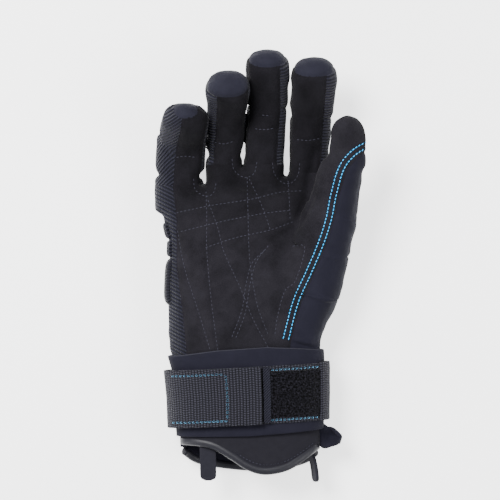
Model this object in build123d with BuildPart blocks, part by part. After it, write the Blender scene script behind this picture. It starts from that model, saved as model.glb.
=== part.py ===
"""A right-hand full-finger sailing glove, lying on its back with the palm up.

Row frame, in millimetres: +X towards the thumb, +Y towards the fingertips, +Z out of the palm. The origin is
the middle of the flat outer face of the pad on the back of the hand, which is what the glove rests on.
The glove is a fabric shell cut into the panels that are sewn together, with a cuff, a wrist wrap, a webbing
strap closed by hook and loop, and two pull tabs. A finger is two tubes that hinge at its palm-side creases.
"""

import os
from math import cos, pi, radians, sin

from build123d import *

# ---- Driving dimensions ------------------------------------------------------------------------------------
WALL = 2.2  # outer fabric and its lining
SEAM_Z = 18.0  # height of the side seams between the palm side and the back
BACK_Z = 9.0  # the back panel lies below this height, the side panels above it
CREASE_GAP = 0.3  # half of the gap left at a crease
SQUARENESS = 2.5  # exponent of the superelliptic sections; 2 would be an ellipse
SECTION_POINTS = 16

CUFF_TOP = -48.0  # the hand panels meet the cuff here, under the wrist wrap
CUFF_END = -116.0
BINDING_WIDTH = 4.5
BINDING_PROUD = 0.8

# What lies on the cuff, as distances outside its surface
WRAP = (0.05, 2.25)  # neoprene wrist wrap
BASE_WEBBING = (2.3, 3.5)  # webbing sewn to the wrap
LOOP_PILE = (3.55, 4.55)  # loop patch
HOOK_PILE = (4.6, 5.45)  # hook patch under the strap
STRAP = (5.5, 6.8)  # the strap that peels open

STRAP_CENTRE = (4.0, -64.5)
STRAP_WIDTH = 32.0
PATCH_WIDTH = 27.0
STRAP_TILT = 3.0  # degrees; the strap runs a little down towards the little-finger side
STRAP_HINGE_X = -36.0
STRAP_END_X = 12.3
LOOP_END_X = 45.6

TAB_WIDTH = 9.0
TAB_THICK = 1.8
TAB_LENGTH = 26.0

FAR = 200.0
X_AXIS = Vector(1, 0, 0)


# ---- Sections and boxes ------------------------------------------------------------------------------------
def section(half_width, half_height, power=SQUARENESS):
    """Adds a closed superelliptic face to the sketch that is being built."""
    points = []
    for i in range(SECTION_POINTS):
        a = 2 * pi * i / SECTION_POINTS
        c, s = cos(a), sin(a)
        x = half_width * (1 if c > 0 else -1) * abs(c) ** (2 / power)
        y = half_height * (1 if s > 0 else -1) * abs(s) ** (2 / power)
        points.append((x, y))
    with BuildLine(Plane.XY) as outline:
        Spline(*points, periodic=True)
    make_face(outline.edges())


def block(plane, x_range, y_range, z_range):
    """A box between these coordinates of a plane."""
    (x0, x1), (y0, y1), (z0, z1) = x_range, y_range, z_range
    with BuildPart() as box:
        with BuildSketch(plane.offset(z0)):
            with Locations(((x0 + x1) / 2, (y0 + y1) / 2)):
                Rectangle(x1 - x0, y1 - y0)
        extrude(amount=z1 - z0)
    return box.part


def column(outline, z_range, curve=None):
    """A prism that stands on a closed outline of points. A curve is a spline that closes the outline's ends."""
    with BuildPart() as prism:
        with BuildSketch(Plane.XY.offset(z_range[0])):
            with BuildLine():
                if curve:
                    Spline(*curve)
                    Polyline(curve[-1], *outline, curve[0])
                else:
                    Polyline(*outline, close=True)
            make_face()
        extrude(amount=z_range[1] - z_range[0])
    return prism.part


def common(*solids):
    """What all these solids share."""
    with BuildPart() as shared:
        add(solids[0])
        for solid in solids[1:]:
            add(solid, mode=Mode.INTERSECT)
    return shared.part


def without(solid, *cuts):
    """A solid with others cut away from it."""
    with BuildPart() as rest:
        add(solid)
        for cut in cuts:
            add(cut, mode=Mode.SUBTRACT)
    return rest.part


def joined(*solids):
    """These solids as one."""
    with BuildPart() as whole:
        for solid in solids:
            add(solid)
    return whole.part


# ---- Creases -----------------------------------------------------------------------------------------------
class Crease:
    """A hinge line on the palm side of a finger tube, with the tube's direction and size there."""

    def __init__(self, centre, along, flex, half_width, half_height):
        self.along = Vector(*along).normalized()
        self.across = self.along.cross(Vector(*flex)).normalized()
        self.back = self.along.cross(self.across).normalized()
        self.half_width = half_width
        self.half_height = half_height
        self.point = Vector(*centre) - self.back * half_height

    def plane(self, distance=0.0, side=0.0, rise=0.0):
        """The plane square to the tube this far past the crease, centred on it: y points to its back."""
        centre = self.point + self.back * (self.half_height - rise)
        centre += self.along * distance + self.across * side
        return Plane(origin=centre, x_dir=self.across, z_dir=self.along)


# ---- Hand and cuff -----------------------------------------------------------------------------------------
# Sections of the outer surface: y, centre x, half width, centre z, half height
HAND = [
    (CUFF_END, 5.5, 38.6, 18.4, 16.4),
    (-90.0, 5.5, 39.2, 18.4, 15.4),
    (-66.0, 5.2, 39.9, 18.4, 14.6),
    (-50.0, 4.5, 40.7, 18.3, 14.8),
    (-38.0, 2.6, 42.0, 18.2, 15.4),
    (-10.0, 0.8, 41.2, 18.2, 16.4),
    (20.0, 2.2, 41.4, 18.0, 16.2),
    (40.0, 1.6, 45.4, 17.4, 14.6),
    (50.0, 0.4, 48.0, 17.2, 12.6),
]
HAND_STEPS = 16  # evenly spaced sections keep the loft from swelling between the rows


def hand_section(y):
    """Centre x, half width, centre z and half height of the hand or cuff at y, between the rows of HAND."""
    for (y0, *low), (y1, *high) in zip(HAND, HAND[1:]):
        if y <= y1:
            t = (y - y0) / (y1 - y0)
            return [a + (b - a) * t for a, b in zip(low, high)]
    return list(HAND[-1][1:])


def hand_solid(grow=0.0):
    """The hand and cuff as one closed solid, with every section grown by the same amount."""
    first, last = HAND[0][0], HAND[-1][0]
    with BuildPart() as solid:
        for i in range(HAND_STEPS + 1):
            y = first + (last - first) * i / HAND_STEPS
            x, half_width, z, half_height = hand_section(y)
            with BuildSketch(Plane(origin=(x, y, z), x_dir=X_AXIS, z_dir=(0, 1, 0))):
                section(half_width + grow, half_height + grow)
        loft()
    return solid.part


def layer(between):
    """The tube between two distances outside the hand and cuff."""
    return without(hand_solid(between[1]), hand_solid(between[0]))


# ---- Thumb -------------------------------------------------------------------------------------------------
THUMB_BASE = Crease((51.5, 40.0, 32.5), (0.16, 0.93, 0.33), (-0.25, -0.24, 0.92), 14.3, 12.0)
THUMB_TIP = Crease((59.8, 64.5, 41.0), (-0.01, 0.95, 0.31), (-0.72, -0.21, 0.64), 10.8, 8.7)
THUMB_TIP_LENGTH = 27.5
THUMB_SHIFT = -3.2  # the tube below the tip crease is wider towards the palm by this shift of its centre
THUMB_NEAR_END = (11.4, 10.8)  # half width and half height of that tube at the tip crease
THUMB_TIP_END = (8.4, -0.6)  # half width at the shoulder of the tip, and its shift sideways

# Ball of the thumb: centre, half width, half height, up to the thumb's first crease
BALL_ALONG = Vector(0.27, 0.94, 0.20)
BALL = [
    ((30.0, -34.0, 19.0), 13.0, 12.5),
    ((37.5, -6.0, 20.5), 18.4, 15.0),
    ((44.5, 18.0, 25.5), 17.2, 14.0),
]


def ball_solid(grow=0.0):
    """The ball of the thumb as a closed solid that ends at the thumb's first crease."""
    with BuildPart() as solid:
        for centre, half_width, half_height in BALL:
            with BuildSketch(Plane(origin=centre, x_dir=THUMB_BASE.across, z_dir=BALL_ALONG)):
                section(half_width + grow, half_height + grow)
        past = -CREASE_GAP if grow >= 0 else 1.0
        with BuildSketch(THUMB_BASE.plane(past)):
            section(THUMB_BASE.half_width + grow, THUMB_BASE.half_height + grow)
        loft()
    return solid.part


def thumb_tube(grow=0.0):
    """The thumb between its two creases."""
    start, stop = (CREASE_GAP, -CREASE_GAP) if grow >= 0 else (-1.0, 1.0)
    end = THUMB_TIP.plane(stop).origin + X_AXIS * THUMB_SHIFT
    with BuildPart() as solid:
        with BuildSketch(THUMB_BASE.plane(start)):
            section(THUMB_BASE.half_width + grow, THUMB_BASE.half_height + grow)
        with BuildSketch(Plane(origin=end, x_dir=THUMB_BASE.across, z_dir=THUMB_TIP.along)):
            section(THUMB_NEAR_END[0] + grow, THUMB_NEAR_END[1] + grow)
        loft()
    return solid.part


# ---- Fingers -----------------------------------------------------------------------------------------------
ROOT_Z = 17.2  # centre height of the finger roots
ROOT_START = 38.0
TIP_DOME = 9.5  # length of the rounded end
TIP_CURL = 2.4  # how far the tip leans towards the palm side
TUBE_STEPS = 7  # sections up to the rounded end
DOME_STEPS = 6  # sections round it
DOME_TURN = 85.0  # degrees from the shoulder to the small flat at the very tip
FRONT_SHARE = 0.64  # share of a finger's width that its palm-side panel takes
BACK_DEPTH = 1.25  # depth below the palm side, in half heights, where the back panel starts
CAP_LENGTH = 11.0  # how far the tip cap reaches back from the tip

# y of the first crease, centre x and half width there; length and rise in degrees of the first tube; centre x
# and half width at the second crease; length and rise of the second tube; centre x and half width at the
# tip; half height
FINGERS = {
    "index": dict(y=65.0, x=38.3, w=10.1, len1=25.0, up1=10.0, x2=38.9, w2=10.7,
                  len2=33.1, up2=31.0, x3=41.4, w3=12.6, h=10.4),
    "middle": dict(y=69.0, x=14.2, w=10.2, len1=26.0, up1=12.0, x2=15.4, w2=10.5,
                   len2=32.7, up2=33.0, x3=16.0, w3=11.2, h=10.5),
    "ring": dict(y=68.5, x=-8.5, w=9.7, len1=22.0, up1=29.0, x2=-7.0, w2=10.2,
                 len2=28.5, up2=50.0, x3=-6.7, w3=10.9, h=10.3),
    "little": dict(y=57.5, x=-34.2, w=13.0, len1=19.0, up1=29.0, x2=-33.0, w2=13.2,
                   len2=24.5, up2=54.0, x3=-29.6, w3=11.0, h=9.8),
}


def finger_creases(name):
    """The two creases of a finger."""
    f = FINGERS[name]
    ups = [radians(f["up1"]), radians(f["up2"])]
    along = [Vector(0, cos(up), sin(up)) for up in ups]
    flex = [Vector(0, -sin(up), cos(up)) for up in ups]
    hinge = Vector(f["x"], f["y"], ROOT_Z + f["h"])
    first = Crease(hinge - flex[0] * f["h"], along[0], flex[0], f["w"], f["h"])
    reach = hinge + along[0] * f["len1"]
    reach.X = f["x2"]
    second = Crease(reach - flex[1] * f["h"], along[1], flex[1], f["w2"], f["h"])
    return first, second


def root_solid(name, grow=0.0):
    """The root of a finger: a straight tube from inside the hand to the finger's first crease."""
    f = FINGERS[name]
    start, stop = (ROOT_START, f["y"] - CREASE_GAP) if grow >= 0 else (ROOT_START - 4, f["y"] + 1)
    with BuildPart() as solid:
        for y in (start, stop):
            with BuildSketch(Plane(origin=(f["x"], y, ROOT_Z), x_dir=X_AXIS, z_dir=(0, 1, 0))):
                section(f["w"] + grow, f["h"] + grow)
        loft()
    return solid.part


def plain_tube(crease, length, end_width, end_side, grow=0.0):
    """The tube between two creases of a finger."""
    start, stop = (CREASE_GAP, length - CREASE_GAP) if grow >= 0 else (-1.0, length + 1.0)
    with BuildPart() as solid:
        with BuildSketch(crease.plane(start)):
            section(crease.half_width + grow, crease.half_height + grow)
        with BuildSketch(crease.plane(stop, side=end_side)):
            section(end_width + grow, crease.half_height + grow)
        loft()
    return solid.part


def tip_tube(crease, length, end_width, end_side, grow=0.0):
    """The last tube of a finger, which closes in a rounded tip."""
    start = CREASE_GAP if grow >= 0 else -1.0
    shoulder = length - TIP_DOME
    stations = []
    for i in range(TUBE_STEPS):
        t = i / TUBE_STEPS
        stations.append((start + t * (shoulder - start), t, 1.0))
    for i in range(DOME_STEPS):
        turn = radians(DOME_TURN * i / (DOME_STEPS - 1))
        stations.append((shoulder + (TIP_DOME + grow) * sin(turn), 1.0, cos(turn)))
    with BuildPart() as solid:
        for distance, t, shrink in stations:
            half_width = (1 - t) * crease.half_width + t * end_width
            rise = TIP_CURL * (distance / length) ** 2
            with BuildSketch(crease.plane(distance, side=end_side * t, rise=rise)):
                section((half_width + grow) * shrink, (crease.half_height + grow) * shrink)
        loft()
    return solid.part


def tube_panels(crease, shell, cap_at=FAR):
    """Cuts a tube into its palm-side panel, its two side walls, and its back panel with the tip cap."""
    plane = Plane(origin=crease.point, x_dir=crease.across, z_dir=crease.along)
    front_half = FRONT_SHARE * crease.half_width
    back_at = BACK_DEPTH * crease.half_height
    front_room = block(plane, (-front_half, front_half), (-FAR, crease.half_height), (-FAR, cap_at))
    side_room = block(plane, (-FAR, FAR), (-FAR, back_at), (-FAR, cap_at))
    front = common(shell, front_room)
    sides = without(common(shell, side_room), front_room)
    back = without(shell, side_room)
    return front, sides, back


# ---- Building the pieces -----------------------------------------------------------------------------------
CLEAR = 0.05  # gap between pieces that lie on each other
parts = {}


def keep(name, part):
    """Labels a finished piece and keeps it to be written."""
    part.label = name
    parts[name] = part


def build_fingers():
    """Two tubes for each finger, each cut into three panels."""
    for name, f in FINGERS.items():
        first, second = finger_creases(name)
        side = f["x2"] - f["x"]
        sizes = (f["len1"], f["w2"], side)
        shell = without(plain_tube(first, *sizes), plain_tube(first, *sizes, grow=-WALL))
        pieces = tube_panels(first, shell)
        for kind, piece in zip(("front", "side_walls", "back"), pieces):
            keep(f"{name}_base_{kind}", piece)
        sizes = (f["len2"], f["w3"], f["x3"] - f["x2"])
        shell = without(tip_tube(second, *sizes), tip_tube(second, *sizes, grow=-WALL))
        pieces = tube_panels(second, shell, cap_at=f["len2"] - CAP_LENGTH)
        for kind, piece in zip(("front", "side_walls", "cap"), pieces):
            keep(f"{name}_tip_{kind}", piece)


def build_thumb():
    """The thumb past its first crease: a suede front and a neoprene back on each of its two tubes."""
    shell = without(thumb_tube(), thumb_tube(-WALL), hand_solid(0.8), root_solid("index", 0.8))
    room = column([(20, 0), (56.0, 0), (58.0, 66), (58.0, 120), (20, 120)], (30, 80))
    keep("thumb_base_front", common(shell, room))
    keep("thumb_base_back", without(shell, room))
    sizes = (THUMB_TIP_LENGTH, *THUMB_TIP_END)
    shell = without(tip_tube(THUMB_TIP, *sizes), tip_tube(THUMB_TIP, *sizes, grow=-WALL))
    room = block(THUMB_TIP.plane(), (-FAR, FAR), (-FAR, 1.0), (-FAR, FAR))
    keep("thumb_tip_front", common(shell, room))
    keep("thumb_tip_back", without(shell, room))


# Seams in the palm view. The left one parts the palm from the side panel, the right one from the neoprene.
LEFT_SEAM = [(-28.5, -60), (-30.0, -40), (-32.5, -16), (-35.3, 6), (-35.6, 34), (-38.0, 56), (-37.5, 72)]
THUMB_SEAM = [(26.0, -60), (27.6, -34), (33.0, -13), (39.8, 3), (46.5, 18), (51.0, 32), (54.5, 48), (55, 60)]
HEM_FRONT = [(-60, -92.4), (-24, -92.6), (-14, -94.6), (-4.5, -100), (5, -106), (14, -108.4), (25, -106.6),
             (33.6, -102), (42, -96), (60, -92)]
HEM_BACK = [(-60, -92.6), (-40, -93.4), (-31, -99), (-22, -104.5), (0, -108), (20, -108), (36, -104),
            (44, -98), (52, -94), (64, -92)]
PADDED = ((-26, 22), (-30, 34))  # x and y ranges of the padding inside the palm
PADDING = 1.3


def build_hand():
    """The panels of the hand, out of one shell with openings for the wrist, the fingers and the thumb."""
    fingers = [root_solid(name) for name in FINGERS]
    outer = joined(hand_solid(), ball_solid(), *fingers)
    room = column([(-FAR, -FAR), (FAR, -FAR), (FAR, 50 - WALL), (-FAR, 50 - WALL)], (-FAR, FAR))
    inner_hand = common(hand_solid(-WALL), room)
    inner_fingers = [root_solid(name, -WALL) for name in FINGERS]
    shell = without(outer, inner_hand, ball_solid(-WALL), *inner_fingers)
    hand_room = column([(-FAR, CUFF_TOP), (FAR, CUFF_TOP), (FAR, FAR), (-FAR, FAR)], (-FAR, FAR))
    hand = common(shell, hand_room)
    thumb_room = column([(FAR, 60), (FAR, -60)], (BACK_Z, FAR), curve=THUMB_SEAM)
    side_room = column([(-FAR, 72), (-FAR, -60)], (BACK_Z, FAR), curve=LEFT_SEAM)
    between = without(hand, thumb_room, side_room)
    palm_room = block(Plane.XY, (-FAR, FAR), (-FAR, FAR), (SEAM_Z, FAR))
    keep("thumb_panel", common(hand, thumb_room))
    keep("side_panel", common(hand, side_room))
    keep("palm_panel", common(between, palm_room))
    keep("back_panel", without(between, palm_room))
    build_webs(outer)
    build_cuff(without(shell, hand_room))
    padded_room = block(Plane.XY, *PADDED, (SEAM_Z + 5, FAR))
    keep("palm_reinforcement", common(layer((-WALL - PADDING, -WALL - CLEAR)), padded_room))


WEB_ENDS = {("little", "ring"): 51.5, ("ring", "middle"): 64.0, ("middle", "index"): 58.5}


def build_webs(outer):
    """The fabric that closes the crotch between neighbouring fingers, as one node of three solids."""
    webs = []
    for (left, right), end in WEB_ENDS.items():
        x_range = (FINGERS[left]["x"] + 4, FINGERS[right]["x"] - 4)
        webs.append(without(block(Plane.XY, x_range, (48, end), (ROOT_Z - 8, ROOT_Z + 8)), outer))
    keep("finger_webs", Compound(children=[solid for web in webs for solid in web.solids()[:1]]))


def hem_rooms(hem):
    """The space above a hem curve, and the space of its binding along the curve."""
    above = [(x, y + BINDING_WIDTH) for x, y in hem]
    top = [(hem[-1][0], 0), (hem[0][0], 0)]
    whole = column(top, (-FAR, FAR), curve=hem)
    panel = column([(above[-1][0], 0), (above[0][0], 0)], (-FAR, FAR), curve=above)
    return panel, without(whole, panel)


def build_cuff(cuff):
    """The cuff's palm side and back, each trimmed along its hem, and the binding round each hem."""
    thick = without(hand_solid(BINDING_PROUD), hand_solid(-WALL - BINDING_PROUD))
    halves = {
        "front": (HEM_FRONT, block(Plane.XY, (-FAR, FAR), (-FAR, FAR), (SEAM_Z, FAR))),
        "back": (HEM_BACK, block(Plane.XY, (-FAR, FAR), (-FAR, FAR), (-FAR, SEAM_Z))),
    }
    for side, (hem, half) in halves.items():
        panel_room, binding_room = hem_rooms(hem)
        keep(f"cuff_{side}", common(cuff, half, panel_room))
        keep(f"hem_binding_{side}", common(thick, half, binding_room))


RIDGES = (17.6, 27.6)  # middle of each ridge along the hand
RIDGE_HALF = 4.6
RIDGE_HEIGHT = 2.0
PAD_HEIGHT = 2.6


def build_back():
    """What is sewn to the back: two accordion ridges over the knuckles and the flat pad the glove rests on."""
    ridges = []
    for y in RIDGES:
        room = block(Plane.XY, (-FAR, 26), (y - RIDGE_HALF, y + RIDGE_HALF), (0, 26))
        ridges += common(layer((CLEAR, RIDGE_HEIGHT)), room).solids()
    keep("knuckle_ridges", Compound(children=ridges))
    pad_room = block(Plane.XY, (-FAR, 22), (-14, 12), (0, 24))
    keep("back_pad", common(layer((CLEAR, PAD_HEIGHT)), pad_room))


def strap_room(x_range, width, z_range=(-FAR, FAR)):
    """The space over a stretch of the strap, which runs tilted across the wrist."""
    x0, x1 = x_range
    centre_x, centre_y = STRAP_CENTRE
    with BuildPart() as room:
        with BuildSketch(Plane.XY.offset(z_range[0])):
            with Locations(Location((centre_x, centre_y), STRAP_TILT)):
                with Locations(((x0 + x1) / 2 - centre_x, 0)):
                    Rectangle(x1 - x0, width)
        extrude(amount=z_range[1] - z_range[0])
    return room.part


WRAP_TOP = [(-70, -45.5), (-42, -43.6), (-10, -39.6), (17, -37.8), (46, -39.6), (70, -42)]
WRAP_BOTTOM = [(70, -80), (46, -83.5), (5, -87.2), (-36, -87.7), (-70, -87.7)]
WEBBING_TURN_Z = 12.0  # the base webbing of the back meets the front webbing at this height
FLAP = [(46.8, -79), (51, -81), (56.6, -86), (57, -93), (52.5, -91.5), (46.8, -90.5)]
FLAP_Z = (19, 21.4)


def build_wrist():
    """The wrap round the wrist, the webbing on it, and the hook and loop that hold the strap."""
    wrap_room = column(WRAP_BOTTOM, (-FAR, FAR), curve=WRAP_TOP)
    slit = block(Plane.XY, (30, FAR), (-FAR, FAR), (SEAM_Z - 1.0, SEAM_Z - 0.4))
    keep("wrist_wrap", without(common(layer(WRAP), wrap_room), slit))
    whole = (-60, 70)
    under = strap_room(whole, STRAP_WIDTH, (-FAR, WEBBING_TURN_Z))
    over = strap_room((STRAP_HINGE_X, 70), STRAP_WIDTH, (WEBBING_TURN_Z, FAR))
    rise = strap_room((-60, STRAP_HINGE_X - CREASE_GAP), STRAP_WIDTH, (WEBBING_TURN_Z, FAR))
    above_floor = block(Plane.XY, (-FAR, FAR), (-FAR, FAR), (0, FAR))
    base = common(layer(BASE_WEBBING), under, above_floor)
    keep("strap_base", joined(base, common(layer((BASE_WEBBING[0], STRAP[1])), rise)))
    keep("loop_backing", common(layer(BASE_WEBBING), over))
    loop_room = strap_room((-30.0, LOOP_END_X), PATCH_WIDTH, (SEAM_Z, FAR))
    keep("loop_patch", common(layer(LOOP_PILE), loop_room))
    fold_room = strap_room((LOOP_END_X + 0.6, 70), STRAP_WIDTH, (WEBBING_TURN_Z + 2, FAR))
    keep("strap_fold", common(layer((LOOP_PILE[0], 5.6)), fold_room))
    hook_room = strap_room((-33.0, -7.5), PATCH_WIDTH, (SEAM_Z, FAR))
    keep("hook_patch", common(layer(HOOK_PILE), hook_room))
    tail_room = strap_room((STRAP_HINGE_X + CREASE_GAP, STRAP_END_X), STRAP_WIDTH, (SEAM_Z, FAR))
    keep("strap", common(layer(STRAP), tail_room))
    keep("wrap_corner", without(column(FLAP, FLAP_Z), hand_solid(WRAP[1] + CLEAR)))


# Pull tabs: hinge point at the sewn end, and the directions across and along the tab
TABS = {
    "left": (Vector(-18.2, -86.0, 26.0), Vector(1, 0, 0)),
    "right": (Vector(37.4, -88.0, 19.0), Vector(0, 0, 1)),
}


def build_tabs():
    """Two pull tabs sewn inside the cuff's hem, with clipped corners."""
    for side, (sewn, across) in TABS.items():
        down = Vector(0.17, -1, 0) if side == "right" else Vector(0.02, -1, 0)
        plane = Plane(origin=sewn, x_dir=down.normalized(), z_dir=down.cross(across).normalized())
        with BuildPart() as tab:
            with BuildSketch(plane.offset(-TAB_THICK / 2)):
                with Locations((TAB_LENGTH / 2, 0)):
                    Rectangle(TAB_LENGTH, TAB_WIDTH)
            extrude(amount=TAB_THICK)
            ends = tab.edges().filter_by(Axis(sewn, plane.z_dir)).sort_by(Axis(sewn, down))[-2:]
            chamfer(ends, 2.4)
        keep(f"pull_tab_{side}", tab.part)


def main():
    os.makedirs("parts", exist_ok=True)
    build_hand()
    build_back()
    build_wrist()
    build_tabs()
    build_thumb()
    build_fingers()
    for name, part in parts.items():
        export_step(part, f"parts/{name}.step")


main()
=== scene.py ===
"""Looks of a right-hand sailing glove, lying on its back with the palm up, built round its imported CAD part.

Frame: +X towards the thumb, +Y towards the fingertips, +Z out of the palm. Every size here is in
millimetres until a mesh is made. The hand, fingers and thumb are one smooth surface cut along its seams
into panels; the wrist is made of bands that follow the cuff's sections.
"""

from math import cos, pi, radians, sin

import bpy
import numpy as np
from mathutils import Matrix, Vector
from mathutils.bvhtree import BVHTree


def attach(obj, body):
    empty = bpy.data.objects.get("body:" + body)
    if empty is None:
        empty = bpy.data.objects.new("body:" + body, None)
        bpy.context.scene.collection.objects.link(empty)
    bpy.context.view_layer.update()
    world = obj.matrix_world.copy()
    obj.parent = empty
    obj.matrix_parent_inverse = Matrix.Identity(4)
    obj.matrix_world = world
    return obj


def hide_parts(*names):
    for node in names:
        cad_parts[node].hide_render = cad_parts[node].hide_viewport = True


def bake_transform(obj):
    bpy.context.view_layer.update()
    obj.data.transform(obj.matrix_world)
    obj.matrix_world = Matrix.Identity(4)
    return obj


MM = 0.001
SQUARENESS = 2.5
STEP = 0.8  # grid of the surface

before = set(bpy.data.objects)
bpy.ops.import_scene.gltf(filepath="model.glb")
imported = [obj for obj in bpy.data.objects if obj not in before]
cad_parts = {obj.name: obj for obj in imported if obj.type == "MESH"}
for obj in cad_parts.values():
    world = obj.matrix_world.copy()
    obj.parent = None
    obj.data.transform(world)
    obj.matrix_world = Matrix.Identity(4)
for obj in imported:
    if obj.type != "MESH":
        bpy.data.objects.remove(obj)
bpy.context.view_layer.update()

# ---- Shape of the glove, as in the CAD part ---------------------------
# y, centre x, half width, centre z, half height
HAND = np.array([
    (-116.0, 5.5, 38.6, 18.4, 16.4),
    (-90.0, 5.5, 39.2, 18.4, 15.4),
    (-66.0, 5.2, 39.9, 18.4, 14.6),
    (-50.0, 4.5, 40.7, 18.3, 14.8),
    (-38.0, 2.6, 42.0, 18.2, 15.4),
    (-10.0, 0.8, 41.2, 18.2, 16.4),
    (20.0, 2.2, 41.4, 18.0, 16.2),
    (40.0, 1.6, 45.4, 17.4, 14.6),
    (50.0, 0.4, 48.0, 17.2, 12.6),
])
HAND_START, HAND_END = -58.0, 46.0
ROOT_Z = 17.2
TIP_DOME = 12.5
SEAM_Z = 18.0

# y, x and w: first crease and half width there. len and up: length and rise of each tube. x2, w2, x3, w3: the
# second crease and the tip. h: half height. start: where the finger's own panels start. cap: length of the tip
# cap. swell: how much wider the finger is below, where its ribbed sides nearly meet its neighbour's.
FINGERS = {
    "little": dict(y=57.5, x=-34.2, w=13.0, len1=19.0, up1=29.0, x2=-32.4, w2=13.6, len2=24.5, up2=54.0,
                   x3=-28.4, w3=12.2, h=9.8, start=53.0, cap=2.5, swell=0.9),
    "ring": dict(y=68.5, x=-8.9, w=9.6, len1=22.0, up1=29.0, x2=-7.2, w2=10.9, len2=28.5, up2=50.0,
                 x3=-6.2, w3=13.2, h=10.3, start=64.6, cap=8.0, swell=0.8),
    "middle": dict(y=69.0, x=13.2, w=10.9, len1=26.0, up1=12.0, x2=15.2, w2=11.0, len2=32.7, up2=33.0,
                   x3=15.0, w3=13.2, h=10.5, start=64.6, cap=5.5, swell=0.4),
    "index": dict(y=65.0, x=38.3, w=10.4, len1=25.0, up1=10.0, x2=39.8, w2=11.7, len2=33.1, up2=31.0,
                  x3=41.6, w3=13.8, h=10.4, start=60.0, cap=6.5, swell=0.5),
}
CROTCHES = {("little", "ring"): 51.0, ("ring", "middle"): 63.0, ("middle", "index"): 58.0}

# Centre, half width and half height along the ball of the thumb
BALL = [
    ((30.0, -34.0, 19.0), 13.0, 12.5),
    ((37.5, -6.0, 20.5), 18.4, 15.0),
    ((44.5, 18.0, 25.5), 17.2, 14.0),
]
THUMB_BASE = dict(centre=(51.5, 40.0, 32.5), along=(0.16, 0.93, 0.33), flex=(-0.25, -0.24, 0.92),
                  w=14.3, h=12.0)
THUMB_TIP = dict(centre=(59.8, 64.5, 41.0), along=(-0.01, 0.95, 0.31), flex=(-0.72, -0.21, 0.64),
                 w=10.8, h=8.7)
THUMB_TIP_LENGTH = 27.5


def unit(v):
    v = np.array(v, float)
    return v / np.linalg.norm(v)


class Crease:
    """A hinge line with the frame of the tube that starts there: across, back and along."""

    def __init__(self, centre, along, flex, w, h):
        self.along = unit(along)
        self.across = unit(np.cross(self.along, flex))
        self.back = unit(np.cross(self.along, self.across))
        self.centre = np.array(centre, float)
        self.w, self.h = w, h

    def local(self, points, length, end_shift=0.0):
        """Places across, towards the back and along the tube, whose centre drifts sideways."""
        rel = points - self.centre
        along = rel @ self.along
        drift = end_shift * np.clip(along / length, 0, 1)
        return rel @ self.across - drift, rel @ self.back, along


def finger_creases(f):
    creases = []
    hinge = np.array((f["x"], f["y"], ROOT_Z + f["h"]))
    for up, w, reach in ((f["up1"], f["w"], f["len1"]), (f["up2"], f["w2"], f["len2"])):
        c, s = cos(radians(up)), sin(radians(up))
        along, flex = np.array((0, c, s)), np.array((0, -s, c))
        creases.append(Crease(hinge - flex * f["h"], along, flex, w, f["h"]))
        hinge = hinge + along * reach
        hinge[0] = f["x2"]
    return creases


CREASES = {name: finger_creases(f) for name, f in FINGERS.items()}
THUMB = [Crease(**THUMB_BASE), Crease(**THUMB_TIP)]


# ---- Distance fields --------------------------------------------------
def round_section(u, v, a, b, *ends):
    """Distance to a superelliptic tube. Each end is how far a point is past its shoulder, and its radius."""
    g = ((np.abs(u) / a) ** SQUARENESS + (np.abs(v) / b) ** SQUARENESS) ** (2 / SQUARENESS)
    size = u * u + v * v
    for over, radius in ends:
        g = g + (over / radius) ** 2
        size = size + over * over
    g = np.sqrt(np.maximum(g, 1e-6))
    return np.sqrt(size) * (1 - 1 / g)


def limb(points, start, end, across, sizes, domes, swell=0.0):
    """Distance to a tapering tube between two centres. The domes round its ends off within its length."""
    start, end = np.array(start, float), np.array(end, float)
    length = np.linalg.norm(end - start)
    along = (end - start) / length
    across = unit(np.array(across) - along * np.dot(across, along))
    back = np.cross(along, across)
    rel = points - start
    w = rel @ along
    t = np.clip(w / length, 0, 1)
    (a0, b0), (a1, b1) = sizes
    v = rel @ back
    b = b0 + (b1 - b0) * t
    a = a0 + (a1 - a0) * t + swell * np.clip(2 * v / b + 0.5, 0, 1)
    ends = [(np.maximum(domes[0] - w, 0), domes[0]), (np.maximum(w - length + domes[1], 0), domes[1])]
    return round_section(rel @ across, v, a, b, *ends)


def blended(fields, k):
    """Smooth union."""
    total = fields[0]
    for field in fields[1:]:
        h = np.clip(0.5 + 0.5 * (field - total) / k, 0, 1)
        total = field + (total - field) * h - k * h * (1 - h)
    return total


def hand_section(y):
    return [np.interp(y, HAND[:, 0], HAND[:, i]) for i in range(1, 5)]


def hand_field(points):
    y = points[:, 1]
    x, a, z, b = hand_section(y)
    over = np.maximum(y - HAND_END, 0)
    return round_section(points[:, 0] - x, points[:, 2] - z, a, b, (over, 8.0))


def finger_field(points, name):
    f = FINGERS[name]
    first, second = CREASES[name]
    x_axis = (1, 0, 0)
    root = limb(points, (f["x"], 36, ROOT_Z), (f["x"], f["y"] + 4, ROOT_Z), x_axis,
                [(f["w"], f["h"])] * 2, (4, 6), f["swell"])
    near_end = first.centre + first.along * f["len1"]
    near_end[0] = f["x2"]
    near = limb(points, first.centre - first.along * 5, near_end + first.along * 4, x_axis,
                [(f["w"], f["h"]), (f["w2"], f["h"])], (6, 6), f["swell"])
    tip = second.centre + second.along * f["len2"] - second.back * 2.0
    tip[0] = f["x3"]
    far = limb(points, second.centre - second.along * 5, tip, x_axis,
               [(f["w2"], f["h"]), (f["w3"], f["h"] - 0.4)], (6, TIP_DOME))
    return blended([root, near, far], 3.0)


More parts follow.
